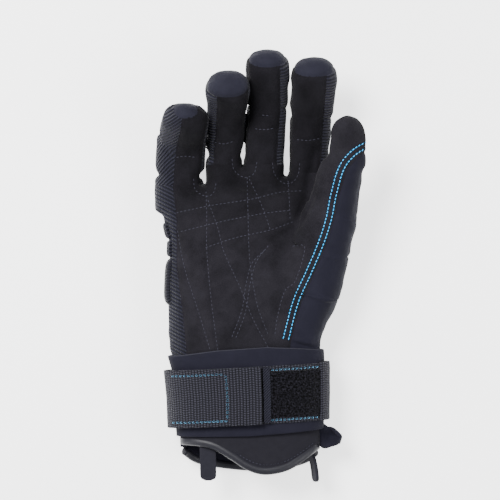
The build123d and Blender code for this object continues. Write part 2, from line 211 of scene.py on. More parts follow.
def thumb_field(points):
    base, tip = THUMB
    joint = tip.centre + np.array((-2.4, 0, 0))
    near = limb(points, base.centre - base.along * 8, joint + tip.along * 4, base.across,
                [(base.w, base.h), (10.9, 10.6)], (8, 7))
    far = limb(points, tip.centre - tip.along * 5, tip.centre + tip.along * THUMB_TIP_LENGTH, tip.across,
               [(tip.w, tip.h), (8.2, 8.3)], (6, 10.0))
    return blended([near, far], 3.5)


def web_field(points, pair, end):
    left, right = FINGERS[pair[0]], FINGERS[pair[1]]
    x0, x1 = left["x"] + left["w"] - 4, right["x"] - right["w"] + 4
    middle, half = (x0 + x1) / 2, (x1 - x0) / 2
    over = np.maximum(points[:, 1] - end + 4, 0)
    return round_section(points[:, 0] - middle, points[:, 2] - ROOT_Z + 1, half, 8.5, (over, 4.0))


def all_fields(points):
    """Distances to the palm with its webs, to each finger, and to the thumb."""
    webs = [web_field(points, pair, end) for pair, end in CROTCHES.items()]
    webs = [np.maximum(web, 30 - points[:, 1]) for web in webs]
    ball = []
    stations = BALL + [(THUMB_BASE["centre"], THUMB_BASE["w"], THUMB_BASE["h"])]
    for (c0, a0, b0), (c1, a1, b1) in zip(stations, stations[1:]):
        ball.append(limb(points, c0, c1, THUMB[0].across, [(a0, b0), (a1, b1)], (1.0, 1.0)))
    palm = blended([hand_field(points), blended(ball, 6.0), *webs], 3.0)
    fingers = {name: finger_field(points, name) for name in FINGERS}
    return palm, fingers, thumb_field(points)


def glove_field(points):
    palm, fingers, thumb = all_fields(points)
    apart = np.minimum.reduce([*fingers.values()])
    apart = blended([palm, apart], 2.5)
    return np.maximum(blended([apart, thumb], 2.0), HAND_START - points[:, 1])


# ---- Surface ----------------------------------------------------------
def surface_nets(field, low, step):
    """Vertices and quads of the zero surface of a sampled field."""
    inside = field < 0
    nx, ny, nz = field.shape
    cells = (nx - 1, ny - 1, nz - 1)
    total = np.zeros((*cells, 3))
    count = np.zeros(cells)
    for axis in range(3):
        others = [a for a in range(3) if a != axis]
        for p in (0, 1):
            for q in (0, 1):
                near = [slice(0, n) for n in cells]
                near[others[0]] = slice(p, p + cells[others[0]])
                near[others[1]] = slice(q, q + cells[others[1]])
                far = list(near)
                far[axis] = slice(1, 1 + cells[axis])
                f0, f1 = field[tuple(near)], field[tuple(far)]
                crossed = inside[tuple(near)] != inside[tuple(far)]
                t = np.where(crossed, f0 / np.where(crossed, f0 - f1, 1), 0)
                total[..., axis] += t
                total[..., others[0]] += np.where(crossed, p, 0)
                total[..., others[1]] += np.where(crossed, q, 0)
                count += crossed
    used = count > 0
    index = np.full(cells, -1)
    index[used] = np.arange(used.sum())
    corner = np.stack(np.nonzero(used), 1)
    verts = low + step * (corner + total[used] / count[used][:, None])
    quads = []
    for axis in range(3):
        b, c = [(1, 2), (2, 0), (0, 1)][axis]
        near = [slice(1, n - 1) for n in field.shape]
        near[axis] = slice(0, field.shape[axis] - 1)
        far = list(near)
        far[axis] = slice(1, field.shape[axis])
        crossed = inside[tuple(near)] != inside[tuple(far)]
        at = np.stack(np.nonzero(crossed), 1)
        at[:, b] += 1
        at[:, c] += 1
        flip = ~inside[tuple(at.T)]
        ring = []
        for db, dc in ((-1, -1), (0, -1), (0, 0), (-1, 0)):
            cell = at.copy()
            cell[:, b] += db
            cell[:, c] += dc
            ring.append(index[tuple(cell.T)])
        quad = np.stack(ring, 1)
        quad[flip] = quad[flip][:, ::-1]
        quads.append(quad)
    quads = np.concatenate(quads)
    return verts, quads[(quads >= 0).all(1)]


def sample_glove(step):
    low = np.array((-53.0, HAND_START - 3, -4.0))
    high = np.array((73.0, 134.0, 65.0))
    axes = [np.arange(a, b, step) for a, b in zip(low, high)]
    grid = np.stack(np.meshgrid(*axes, indexing="ij"), -1)
    shape = grid.shape[:3]
    flat = grid.reshape(-1, 3)
    values = np.concatenate([glove_field(chunk) for chunk in np.array_split(flat, 12)])
    return surface_nets(values.reshape(shape), low, step)


def edges_of(quads):
    pairs = np.concatenate([quads[:, [i, (i + 1) % 4]] for i in range(4)])
    return np.unique(np.sort(pairs, 1), axis=0)


def relaxed(verts, edges, rounds, share=0.5):
    """Each vertex moves towards the mean of its neighbours."""
    degree = np.bincount(edges.ravel(), minlength=len(verts))[:, None]
    for _ in range(rounds):
        total = np.zeros_like(verts)
        np.add.at(total, edges[:, 0], verts[edges[:, 1]])
        np.add.at(total, edges[:, 1], verts[edges[:, 0]])
        verts = verts + share * (total / np.maximum(degree, 1) - verts)
    return verts


def normals_of(verts, quads):
    across = np.cross(verts[quads[:, 2]] - verts[quads[:, 0]], verts[quads[:, 3]] - verts[quads[:, 1]])
    total = np.zeros_like(verts)
    for i in range(4):
        np.add.at(total, quads[:, i], across)
    return total / np.maximum(np.linalg.norm(total, axis=1, keepdims=True), 1e-9)


def waves(points, size, seed, count=7):
    """Smooth noise of about one unit: a few plane waves about this many millimetres long."""
    rng = np.random.default_rng(seed)
    total = np.zeros(len(points))
    for _ in range(count):
        direction = unit(rng.normal(size=3)) * 2 * pi / (size * rng.uniform(0.7, 1.6))
        total += np.sin(points @ direction + rng.uniform(0, 2 * pi))
    return total / count ** 0.5


# ---- Seams ------------------------------------------------------------
# Curves in the palm view
LEFT_SEAM = [(-28.5, -60), (-30.0, -40), (-32.5, -16), (-35.3, 6), (-35.6, 34), (-38.0, 56)]
THUMB_SEAM = [(27.0, -60), (28.5, -34), (34, -13), (41, 3), (47.5, 18.5), (52, 32.5), (55, 47.5), (59, 61),
              (66, 69), (76, 74)]
THUMB_START = -3.0
THUMB_SIDE = 34.0  # nothing left of this is thumb
GUSSET_FOOT = 14.0  # the thumb's seam runs above this
BACK_TOP = 9.0  # the back panel ends at this height
NO_SEAM = 50.0  # distance given to what isn't near a seam
# Middle and half width, across each finger, of its suede front: the fingers are turned a little
FRONTS = {"little": (4.6, 7.6), "ring": (2.6, 8.6), "middle": (-2.0, 9.4), "index": (-2.6, 9.6)}


def beside(points, curve):
    """Signed distance right of a curve that runs up the palm, seen from above."""
    xy = points[:, :2]
    best = np.full(len(xy), 1e9)
    sign = np.ones(len(xy))
    curve = np.array(curve, float)
    for a, b in zip(curve, curve[1:]):
        edge = b - a
        t = np.clip((xy - a) @ edge / (edge @ edge), 0, 1)
        rel = xy - a - t[:, None] * edge
        d = np.linalg.norm(rel, axis=1)
        cross = rel[:, 0] * edge[1] - rel[:, 1] * edge[0]
        closer = d < best
        best[closer] = d[closer]
        sign[closer] = np.sign(cross[closer] + 1e-9)
    return best * sign


def finger_coords(points, name):
    """Places across, towards the back and along a finger, and along each of its two tubes."""
    f = FINGERS[name]
    first, second = CREASES[name]
    u1, v1, w1 = first.local(points, f["len1"], f["x2"] - f["x"])
    u2, v2, w2 = second.local(points, f["len2"], f["x3"] - f["x2"])
    t = np.clip((w1 - f["len1"] + 5) / 10, 0, 1)
    t = t * t * (3 - 2 * t)
    return u1 + (u2 - u1) * t, v1 + (v2 - v1) * t, np.where(w2 > 0, f["len1"] + w2, w1), w1, w2


def owners(points):
    """Which part each point belongs to, 0 the hand, 1 to 4 the fingers or 5 the thumb, and how far into it."""
    _, fingers, thumb = all_fields(points)
    nearest = np.argmin(np.stack([*fingers.values()]), 0)
    starts = np.array([f["start"] for f in FINGERS.values()])
    into = points[:, 1] - starts[nearest]
    is_thumb = thumb < np.minimum.reduce([*fingers.values()])
    is_thumb &= points[:, 0] > THUMB_SIDE
    base = THUMB[0]
    thumb_in = (points - base.centre) @ base.along - THUMB_START
    depth = np.where(is_thumb, thumb_in, into)
    owner = np.where(depth > 0, np.where(is_thumb, 5, nearest + 1), 0)
    return owner, depth


def seam_fields(points):
    """Signed distances to the seams: each is zero along a seam line."""
    owner, depth = owners(points)
    fields = {"start": depth}
    hand = owner == 0
    up = points[:, 2] - SEAM_Z
    left = beside(points, LEFT_SEAM)
    thumb = beside(points, THUMB_SEAM)
    on_gusset = (hand | (owner == 5)) & (points[:, 2] > GUSSET_FOOT)
    fields["palm_left"] = np.where(hand & (up > -3), left, NO_SEAM)
    fields["thumb_seam"] = np.where(on_gusset, thumb, -NO_SEAM)
    fields["hand_low"] = np.where(hand, points[:, 2] - BACK_TOP, NO_SEAM)
    base = THUMB[0]
    split = (points - base.centre) @ base.along - 15.0
    fields["split"] = np.where(owner == 5, split, NO_SEAM)
    for i, (name, f) in enumerate(FINGERS.items(), start=1):
        own = owner == i
        u, v, _, w1, w2 = finger_coords(points, name)
        middle, half_width = FRONTS[name]
        front = np.minimum(half_width - np.abs(u - middle), 0.1 * f["h"] - v)
        cap = w2 - (f["len2"] - f["cap"]) - 0.004 * u * u
        fields[f"front_{name}"] = np.where(own, np.minimum(front, -cap), -NO_SEAM)
        low = v - 0.5 * f["h"]
        fields[f"low_{name}"] = np.where(own, np.maximum(low, cap), -NO_SEAM)
        fields["split"] = np.where(own, w1 - 0.55 * f["len1"], fields["split"])
    return fields, owner


def snapped(verts, edges, names):
    """Moves the vertices beside each seam onto it, so that the panels' edges are clean lines."""
    for name in names:
        field = seam_fields(verts)[0][name]
        a, b = edges.T
        fa, fb = field[a], field[b]
        crossed = (fa * fb < 0) & (np.abs(fa - fb) < 6)
        a, b, fa, fb = a[crossed], b[crossed], fa[crossed], fb[crossed]
        t = fa / (fa - fb)
        at = verts[a] + t[:, None] * (verts[b] - verts[a])
        use_a = t < 0.5
        which = np.where(use_a, a, b)
        shift = np.where(use_a, t, 1 - t)
        order = np.argsort(-shift)
        verts = verts.copy()
        verts[which[order]] = at[order]
    return verts


# ---- Materials --------------------------------------------------------
class Shader:
    """Builds one material. Textures are laid out by the 'cloth' attribute, in millimetres on the fabric."""

    def __init__(self, name, color, rough, sheen=0.0, gloss=0.06):
        self.material = bpy.data.materials.new(name)
        self.material.use_nodes = True
        self.tree = self.material.node_tree
        self.bsdf = self.tree.nodes["Principled BSDF"]
        self.bsdf.inputs["Base Color"].default_value = (*color, 1)
        self.bsdf.inputs["Roughness"].default_value = rough
        self.bsdf.inputs["Sheen Weight"].default_value = sheen
        self.bsdf.inputs["Sheen Roughness"].default_value = 0.4
        self.bsdf.inputs["Specular IOR Level"].default_value = gloss
        self.color = color
        attribute = self.tree.nodes.new("ShaderNodeAttribute")
        attribute.attribute_name = "cloth"
        self.cloth = attribute.outputs["Vector"]
        split = self.tree.nodes.new("ShaderNodeSeparateXYZ")
        self.tree.links.new(self.cloth, split.inputs[0])
        self.x, self.y, self.z = split.outputs

    def put(self, value, socket):
        if isinstance(value, (int, float)):
            socket.default_value = value
        else:
            self.tree.links.new(value, socket)

    def math(self, operation, *values):
        node = self.tree.nodes.new("ShaderNodeMath")
        node.operation = operation
        for value, socket in zip(values, node.inputs):
            self.put(value, socket)
        return node.outputs[0]

    def wave(self, value, period):
        return self.math("SINE", self.math("MULTIPLY", value, 2 * pi / period))

    def noise(self, scale, detail=3.0, rough=0.6):
        node = self.tree.nodes.new("ShaderNodeTexNoise")
        node.inputs["Scale"].default_value = scale
        node.inputs["Detail"].default_value = detail
        node.inputs["Roughness"].default_value = rough
        self.tree.links.new(self.cloth, node.inputs["Vector"])
        return node.outputs["Fac"]

    def between(self, value, source, target):
        """A value mapped from one range to another, and held at its ends."""
        node = self.tree.nodes.new("ShaderNodeMapRange")
        node.clamp = True
        self.put(value, node.inputs["Value"])
        node.inputs["From Min"].default_value, node.inputs["From Max"].default_value = source
        node.inputs["To Min"].default_value, node.inputs["To Max"].default_value = target
        return node.outputs[0]

    def shade(self, factor, dark, light, low=0.0, high=1.0):
        """Base colour between two multiples of the colour, as a factor goes from low to high."""
        scale = self.tree.nodes.new("ShaderNodeVectorMath")
        scale.operation = "SCALE"
        scale.inputs[0].default_value = self.color
        self.tree.links.new(self.between(factor, (low, high), (dark, light)), scale.inputs["Scale"])
        self.tree.links.new(scale.outputs[0], self.bsdf.inputs["Base Color"])

    def bump(self, height, depth, strength=1.0):
        """Relief of this depth in millimetres."""
        node = self.tree.nodes.new("ShaderNodeBump")
        node.inputs["Strength"].default_value = strength
        node.inputs["Distance"].default_value = depth * MM
        self.put(height, node.inputs["Height"])
        self.tree.links.new(node.outputs[0], self.bsdf.inputs["Normal"])


# Painted shade on the fingers' suede, which is darker than the palm's
FINGER_PAINTED_SHADE = 0.58  # the suede is this much darker on the fingers than on the palm


def suede(name, color, painted_shade=None):
    """Suede, whose colour is multiplied by painted shade that a function builds from the place on the cloth."""
    s = Shader(name, color, 0.95, 0.03)
    nap = s.noise(2.2, 5)
    blotch = s.noise(0.07, 3)
    mixed = s.math("ADD", s.math("MULTIPLY", nap, 0.5), s.math("MULTIPLY", blotch, 0.5))
    mixed = s.between(mixed, (0.32, 0.68), (0.45, 1.6))
    # the painted shade darkens the suede's colour here
    if painted_shade:
        mixed = s.math("MULTIPLY", mixed, painted_shade(s))
    s.shade(mixed, 0.0, 2.0, 0.0, 2.0)
    s.bump(nap, 0.35)
    return s.material


def palm_painted_shade(s):
    """Painted shade: darker towards the fingers, but not beside the thumb."""
    up = s.between(s.y, (14, 54), (0, 1 - FINGER_PAINTED_SHADE))
    away = s.between(s.x, (30, 46), (1, 0))
    return s.math("SUBTRACT", 1.0, s.math("MULTIPLY", up, away))


def ribbed(name, period=1.7, slant=0.0, turned=0.0, depth=0.45):
    """Ribs across the fabric. The slant leans them by their x, and turned by their z."""
    s = Shader(name, (0.0135, 0.0132, 0.0205), 0.75, 0.06)
    along = s.math("ADD", s.y, s.math("MULTIPLY", s.x, slant))
    along = s.math("ADD", along, s.math("MULTIPLY", s.z, turned))
    rib = s.wave(along, period)
    cross = s.wave(s.x, 0.9)
    height = s.math("ADD", rib, s.math("MULTIPLY", cross, 0.25))
    s.shade(s.math("ADD", s.math("MULTIPLY", rib, 0.5), 0.5), 0.45, 1.35)
    s.bump(height, depth)
    return s.material


def knit():
    s = Shader("smooth_knit", (0.0105, 0.0103, 0.0168), 0.7, 0.05)
    s.shade(s.noise(0.12, 3), 0.75, 1.3)
    s.bump(s.noise(2.8, 2), 0.14)
    return s.material


def neoprene():
    s = Shader("neoprene_jersey", (0.0085, 0.0082, 0.0140), 0.8, 0.04)
    grain = s.noise(3.0, 4)
    s.shade(s.noise(0.09, 3), 0.72, 1.25)
    s.bump(grain, 0.16)
    return s.material


def webbing():
    s = Shader("webbing", (0.0185, 0.018, 0.0245), 0.7, 0.05)
    rib = s.math("ABSOLUTE", s.wave(s.x, 3.5))
    yarn = s.wave(s.math("ADD", s.y, s.math("MULTIPLY", s.wave(s.x, 7.0), 0.3)), 1.3)
    height = s.math("MULTIPLY", rib, s.math("ADD", s.math("MULTIPLY", yarn, 0.38), 0.62))
    s.shade(height, 0.12, 2.1)
    s.bump(height, 0.7)
    return s.material


def twill():
    s = Shader("twill_tape", (0.013, 0.0128, 0.020), 0.7, 0.05)
    rib = s.wave(s.math("ADD", s.x, s.y), 1.5)
    s.shade(s.math("ADD", s.math("MULTIPLY", rib, 0.5), 0.5), 0.5, 1.4)
    s.bump(rib, 0.3)
    return s.material


def pile(name, color):
    s = Shader(name, color, 1.0, 0.05)
    fuzz = s.noise(0.95, 5, 0.7)
    s.shade(fuzz, 0.0, 4.5, 0.45, 0.70)
    s.bump(fuzz, 1.2)
    return s.material


def plain(name, color, rough, sheen=0.0, grain=0.0, gloss=0.06):
    s = Shader(name, color, rough, sheen, gloss)
    s.shade(s.noise(0.25, 3), 0.8, 1.2)
    s.bump(s.noise(2.5, 3), grain)
    return s.material


def moulded():
    s = Shader("moulded_pad", (0.014, 0.0136, 0.018), 0.5)
    rising = s.wave(s.math("ADD", s.x, s.y), 3.4)
    falling = s.wave(s.math("SUBTRACT", s.x, s.y), 3.4)
    cells = s.math("MULTIPLY", rising, falling)
    s.shade(s.math("ADD", s.math("MULTIPLY", cells, 0.5), 0.5), 0.6, 1.5)
    s.bump(cells, 0.5)
    return s.material


SUEDE = suede("suede", (0.0100, 0.0092, 0.0118))
# The palm's and the fingers' suede carry painted shade: darker towards the fingers and on them
PALM_SUEDE = suede("palm_suede", (0.0100, 0.0092, 0.0118), palm_painted_shade)
FINGER_SUEDE = suede("finger_suede", (0.0100, 0.0092, 0.0118), lambda s: FINGER_PAINTED_SHADE)
RIBS = ribbed("ribbed_stretch")
SLANTED_RIBS = ribbed("ribbed_stretch_slanted", 2.1, 0.55)
LITTLE_RIBS = ribbed("ribbed_stretch_little", 2.9, 0.0, 1.1)
KNIT = knit()
NEOPRENE = neoprene()
WEBBING = webbing()
TWILL = twill()
LOOP = pile("loop_pile", (0.0042, 0.0040, 0.0056))
HOOK = pile("hook_pile", (0.006, 0.006, 0.007))
LINING = plain("lining", (0.0105, 0.0100, 0.0132), 0.95, 0.03, 0.15)
BINDING = plain("binding", (0.009, 0.0088, 0.0125), 0.42, 0.0, 0.08, 0.22)
TAPE = plain("tab_fabric", (0.0125, 0.0122, 0.0165), 0.8, 0.03, 0.12)
EDGE = plain("cut_neoprene", (0.022, 0.0215, 0.029), 0.9, 0.0, 0.1)
THREAD = plain("dark_thread", (0.030, 0.030, 0.042), 0.6)
BLUE = plain("blue_thread", (0.02, 0.36, 0.75), 0.55)
PALE_BLUE = plain("pale_blue_thread", (0.16, 0.42, 0.62), 0.55)
MOULDED = moulded()


# ---- Making objects ---------------------------------------------------
def make_object(name, verts, faces, cloth, material, normals=None):
    mesh = bpy.data.meshes.new(name)
    mesh.from_pydata((np.asarray(verts) * MM).tolist(), [], [list(map(int, f)) for f in faces])
    attribute = mesh.attributes.new("cloth", "FLOAT_VECTOR", "POINT")
    attribute.data.foreach_set("vector", np.asarray(cloth, np.float32).ravel())
    mesh.materials.append(material)
    mesh.shade_smooth()
    if normals is not None:
        mesh.normals_split_custom_set_from_vertices(np.asarray(normals).tolist())
    obj = bpy.data.objects.new(name, mesh)
    bpy.context.scene.collection.objects.link(obj)
    return obj


def place(obj, slot, nodes, body=None, bend=None):
    """Attaches a piece to the body that carries it, or, when given a bend, only bakes its transform; then hides the
    CAD nodes it stands for. The slot is not used.
    """
    if bend:
        a, b, start, end = bend
        tuple(np.array(start) * MM)
        tuple(np.array(end) * MM)
        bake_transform(obj)
    else:
        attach(obj, body)
    if nodes:
        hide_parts(*nodes)
    return obj


# ---- The hand, fingers and thumb --------------------------------------
QUILTING = [
    [(-19, 50), (-18.5, 34), (-18.5, 17), (-16, -11), (-12, -42)],
    [(-18, 45), (-12, 28), (-9, 16), (1, -6), (7, -21), (16, -38)],
    [(4, 58), (4.5, 36), (5.5, 11), (9.5, -13), (15.5, -30)],
    [(5, 57), (12, 42), (17, 28)],
    [(27, 56), (28, 34)],
    [(-35, 28), (-31, 7), (-23, -18), (-16, -41)],
    [(-36, 37.5), (-17, 41.5), (5.5, 45), (22, 49), (35, 50)],
    [(-33.5, 27), (-11, 32.5), (12, 37), (28, 39)],
    [(-19.5, 18), (-3, 23.5), (17, 28), (29.5, 32.5)],
    [(16, 19.5), (9, 10), (5.5, -3), (3, -18), (-3, -34)],
    [(14, 17), (6.5, 9), (3.3, -3), (1, -17), (-5, -33)],
    [(29, 19), (36, 18), (31, 0), (25, -6), (21, -20), (19.5, -30)],
    [(-26, 57), (-25, 50.5), (-19.5, 47), (-15, 48.5), (-13, 56)],
    [(-4.5, 68), (-3.5, 62), (0, 58.5), (4, 57.5), (8, 60), (9.5, 66)],
    [(18, 66), (19.5, 59), (24, 54.5), (29, 54.5), (32.5, 59), (33.5, 66)],
    [(-38, 68), (-31, 69), (-24.5, 68.5)],
    [(-14.5, 77), (-9, 76), (-3, 77.5)],
    [(8, 84.5), (14, 84), (20.5, 85)],
    [(12, 92), (17, 91.5)],
    [(31.5, 78.5), (38, 78), (44.5, 79)],
]


# Where the thumb lies over the palm, and the fold from its root to the middle of the palm
VALLEY = [(43, 72), (39.5, 60), (37.5, 46), (34, 34), (27, 27), (19, 23)]


def smooth_curve(points, pitch=0.25):
    """Points evenly spaced along a Catmull-Rom curve."""
    p = np.array(points, float)
    p = np.concatenate([[2 * p[0] - p[1]], p, [2 * p[-1] - p[-2]]])
    t = np.linspace(0, 1, 40, endpoint=False)[:, None]
    runs = []
    for a, b, c, d in zip(p, p[1:], p[2:], p[3:]):
        runs.append(0.5 * (2 * b + (c - a) * t + (2 * a - 5 * b + 4 * c - d) * t ** 2
                           + (3 * b - a - 3 * c + d) * t ** 3))
    line = np.concatenate([*runs, [p[-2]]])
    run = np.concatenate([[0], np.cumsum(np.linalg.norm(np.diff(line, axis=0), axis=1))])
    at = np.arange(0, run[-1], pitch)
    return np.stack([np.interp(at, run, line[:, i]) for i in range(line.shape[1])], 1)


def near_curves(points, curves):
    """Distance in the palm view to the nearest curve."""
    best = np.full(len(points), 1e9)
    for curve in curves:
        line = smooth_curve(curve, 1.5)
        for a, b in zip(line, line[1:]):
            edge = b - a
            rel = points[:, :2] - a
            t = np.clip(rel @ edge / (edge @ edge), 0, 1)
            best = np.minimum(best, np.hypot(*(rel - t[:, None] * edge).T))
    return best


def build_surface():
    """The glove's surface, with its seams, quilting, folds and the thumb's valley pressed in."""
    verts, quads = sample_glove(STEP)
    edges = edges_of(quads)
    verts = relaxed(verts, edges, 3)
    names = ["start", "split", "palm_left", "hand_low", "thumb_seam"]
    names += [f"{kind}_{name}" for name in FINGERS for kind in ("front", "low")]
    verts = snapped(verts, edges, names)
    normals = normals_of(verts, quads)
    fields, _ = seam_fields(verts)
    seam = np.minimum.reduce([np.abs(fields[n]) for n in names if n not in ("start", "split", "hand_low")])
    groove = -0.55 * np.exp(-((seam / 1.2) ** 2)) + 0.25 * (1 - np.exp(-((seam / 3.5) ** 2)))
    on_palm = (normals[:, 2] > 0.2) & (verts[:, 2] > SEAM_Z)
    suede_side = (fields["thumb_seam"] < 0) & on_palm
    quilt = np.full(len(verts), NO_SEAM)
    quilt[suede_side] = near_curves(verts[suede_side], QUILTING)
    puff = 0.12 * (1 - np.exp(-((quilt / 3.0) ** 2))) * (quilt < NO_SEAM - 1)
    groove += -0.45 * np.exp(-((quilt / 1.1) ** 2)) + puff
    valley = np.full(len(verts), NO_SEAM)
    valley[on_palm] = near_curves(verts[on_palm], [VALLEY])
    groove -= 2.0 * np.exp(-((valley / 3.4) ** 2)) * np.clip((normals[:, 2] - 0.2) / 0.3, 0, 1)
    folds = 0.26 * waves(verts, 16, 3) + 0.09 * waves(verts, 6, 4)
    folds *= np.clip((verts[:, 1] + 50) / 10, 0, 1)
    verts = verts + normals * (groove + folds)[:, None]
    return verts, quads


def panel_keys(points):
    """The panel that each point belongs to."""
    fields, owner = seam_fields(points)
    keys = np.empty(len(points), object)
    hand = owner == 0
    low = points[:, 2] < BACK_TOP
    gusset = fields["thumb_seam"] > 0
    side = fields["palm_left"] < 0
    keys[hand] = "palm"
    keys[hand & low] = "back"
    keys[hand & ~low & gusset] = "gusset"
    keys[hand & ~low & side & ~gusset] = "side"
    half = np.where(fields["split"] < 0, "base", "tip")
    for i, name in enumerate(FINGERS, start=1):
        own = owner == i
        kind = np.where(fields[f"low_{name}"] > 0, "back", "sides")
        kind = np.where(fields[f"front_{name}"] > 0, "front", kind)
        keys[own] = [f"{name}_{h}_{k}" for h, k in zip(half[own], kind[own])]
    own = owner == 5
    kind = np.where(gusset | (points[:, 2] < 26), "back", "front")
    keys[own] = [f"thumb_{h}_{k}" for h, k in zip(half[own], kind[own])]
    return keys


def bend_of(key):
    """The blend of a panel that crosses a joint: two bodies, and where it starts and ends."""
    limb_name, half = key.split("_")[:2]
    if limb_name == "thumb":
        base, tip = THUMB
        if half == "base":
            return "hand", "thumb_base", base.centre - base.along * 3, base.centre + base.along * 7
        return "thumb_base", "thumb_tip", tip.centre - tip.along * 6, tip.centre + tip.along * 6
    f = FINGERS[limb_name]
    first, second = CREASES[limb_name]
    if half == "base":
        start = np.array((f["x"], f["start"], ROOT_Z))
        return "hand", f"{limb_name}_base", start, start + np.array((0, 2 * (f["y"] - f["start"]) + 2, 0))
    along = unit(first.along + second.along)
    return f"{limb_name}_base", f"{limb_name}_tip", second.centre - along * 7, second.centre + along * 7


PANELS = {
    "palm": (PALM_SUEDE, "palm_suede", ["palm_panel", "palm_reinforcement", "finger_webs"]),
    "gusset": (NEOPRENE, "neoprene", ["thumb_panel"]),
    "side": (SLANTED_RIBS, "smooth_stretch_fabric", ["side_panel"]),
    "back": (KNIT, "smooth_stretch_fabric", ["back_panel"]),
    "thumb_base_front": (SUEDE, "palm_suede", ["thumb_base_front"]),
    "thumb_base_back": (NEOPRENE, "neoprene", ["thumb_base_back"]),
    "thumb_tip_front": (SUEDE, "palm_suede", ["thumb_tip_front"]),
    "thumb_tip_back": (NEOPRENE, "neoprene", ["thumb_tip_back"]),
}


def finger_panels():
    """Material, slot and CAD nodes of the fingers' panels."""
    panels = {}
    for name in FINGERS:
        ribs = LITTLE_RIBS if name == "little" else RIBS
        for half, end in (("base", "back"), ("tip", "cap")):
            limb_name = f"{name}_{half}"
            panels[f"{limb_name}_front"] = (FINGER_SUEDE, "palm_suede", [f"{limb_name}_front"])
            panels[f"{limb_name}_sides"] = (ribs, "ribbed_stretch_fabric", [f"{limb_name}_side_walls"])
            panels[f"{limb_name}_back"] = (KNIT, "smooth_stretch_fabric", [f"{limb_name}_{end}"])
    return panels


PANELS.update(finger_panels())


def place_on_panel(obj, slot, nodes, key):
    """Places a piece as the panel of this key is placed: a panel of a limb only has its transform baked, and the
    rest ride the hand.
    """
    if "_" in key:
        place(obj, slot, nodes, bend=bend_of(key))
    else:
        place(obj, slot, nodes, body="hand")


def build_panels(verts, quads):
    """Cuts the surface into its panels. Returns each quad's panel."""
    normals = normals_of(verts, quads)
    keys = panel_keys(verts[quads].mean(1))
    for key in sorted(set(keys)):
        faces = quads[keys == key]
        used, local = np.unique(faces, return_inverse=True)
        points = verts[used]
        cloth = points
        if key.split("_")[0] in FINGERS:
            u, v, w, _, _ = finger_coords(points, key.split("_")[0])
            cloth = np.stack([u + v, w, v - u], 1)
        material, slot, nodes = PANELS[key]
        obj = make_object(key, points, local.reshape(-1, 4), cloth, material, normals[used])
        place_on_panel(obj, slot, nodes, key)
    return keys


def stitch_mesh(seats, length, width, height):
    """Verts and faces of small rounded stitches. Each seat is a point, a direction and a normal."""
    ring = [(-0.5, 0.25), (-0.3, 0.85), (0.3, 0.85), (0.5, 0.25)]
    verts, faces = [], []
    for point, direction, normal in seats:
        side = unit(np.cross(normal, direction))
        base = len(verts)
        for along, size in ring:
            for a in (0, pi / 3, 2 * pi / 3, pi):
                out = height * size * sin(a) - 0.15
                middle = point + direction * along * length
                verts.append(middle + side * cos(a) * width / 2 * size + normal * out)
        for r in range(3):
            for i in range(3):
                a = base + 4 * r + i
                faces.append((a, a + 4, a + 5, a + 1))
        faces.append((base, base + 1, base + 2, base + 3))
        faces.append((base + 15, base + 14, base + 13, base + 12))
    return np.array(verts), faces


def sew(name, curves, tree, keys, material, slot, pitch=2.3, length=1.5, width=0.55, height=0.35, top=80.0):
    """Stitches along curves in the palm view, laid on the surface and placed as the panel under each is."""
    groups = {}
    for curve in curves:
        line = smooth_curve(curve)
        step = int(round(pitch / 0.25))
        for i in range(step // 2, len(line) - 2, step):
            x, y = line[i]
            hit, normal, face, _ = tree.ray_cast(Vector((x, y, top)), Vector((0, 0, -1)))
            if hit is None or normal.z < 0.03:
                continue
            ahead = unit([*(line[i + 2] - line[i]), 0])
            normal = np.array(normal)
            direction = unit(ahead - normal * (ahead @ normal))
            groups.setdefault(keys[face], []).append((np.array(hit), direction, normal))
    for key, seats in sorted(groups.items()):
        if key in ("side", "back", "gusset"):
            key = "palm"
        verts, faces = stitch_mesh(seats, length, width, height)
        obj_name = f"{name}_{key}"
        while obj_name in bpy.data.objects:
            obj_name += "_more"
        obj = make_object(obj_name, verts, faces, verts, material)
        place_on_panel(obj, slot, [], key)


def beside_curve(curve, distance):
    line = smooth_curve(curve, 4.0)
    way = np.gradient(line, axis=0)
    way /= np.linalg.norm(way, axis=1, keepdims=True)
    return line + distance * np.stack([way[:, 1], -way[:, 0]], 1)


def build_hand():
    verts, quads = build_surface()
    keys = build_panels(verts, quads)
    tree = BVHTree.FromPolygons(verts.tolist(), quads.tolist())
    sew("quilting", QUILTING, tree, keys, THREAD, "palm_suede")
    seam = [p for p in THUMB_SEAM if p[1] > -60]
    for i, distance in enumerate((-4.6, -1.6)):
        curve = [p for p in beside_curve(seam, distance) if p[1] > -36]
        sew(f"topstitch_{i}", [curve], tree, keys, BLUE, "palm_suede", 2.0, 1.5, 0.75, 0.55)


# ---- The wrist --------------------------------------------------------
def skin(y, turn, out):
    """Points this far outside the cuff's surface: turn goes from 0 at the thumb side over the palm to pi."""
    x, a, z, b = hand_section(y)
    c, s = np.cos(turn), np.sin(turn)
    power = 2 / SQUARENESS
    return np.stack([x + (a + out) * np.sign(c) * np.abs(c) ** power, y + 0 * turn,
                     z + (b + out) * np.sign(s) * np.abs(s) ** power], -1)


def turn_at(x, y=-64.0, out=3.0):
    """The turn of a point over the palm at this x."""
    cx, a, _, _ = hand_section(y)
    u = np.clip((x - cx) / (a + out), -1, 1)
    c = np.sign(u) * np.abs(u) ** (SQUARENESS / 2)
    return float(np.arccos(c))


def grid_faces(rows, columns):
    faces = []
    for i in range(rows - 1):
        for j in range(columns - 1):
            a = i * columns + j
            faces.append((a, a + 1, a + columns + 1, a + columns))
    return faces


def thicken(obj, thickness, rounding=0.35):
    solid = obj.modifiers.new("thickness", "SOLIDIFY")
    solid.thickness = thickness * MM
    solid.offset = -1
    bevel = obj.modifiers.new("rounding", "BEVEL")
    bevel.width = rounding * MM
    bevel.segments = 2
    bevel.limit_method = "ANGLE"
    bevel.angle_limit = radians(50)


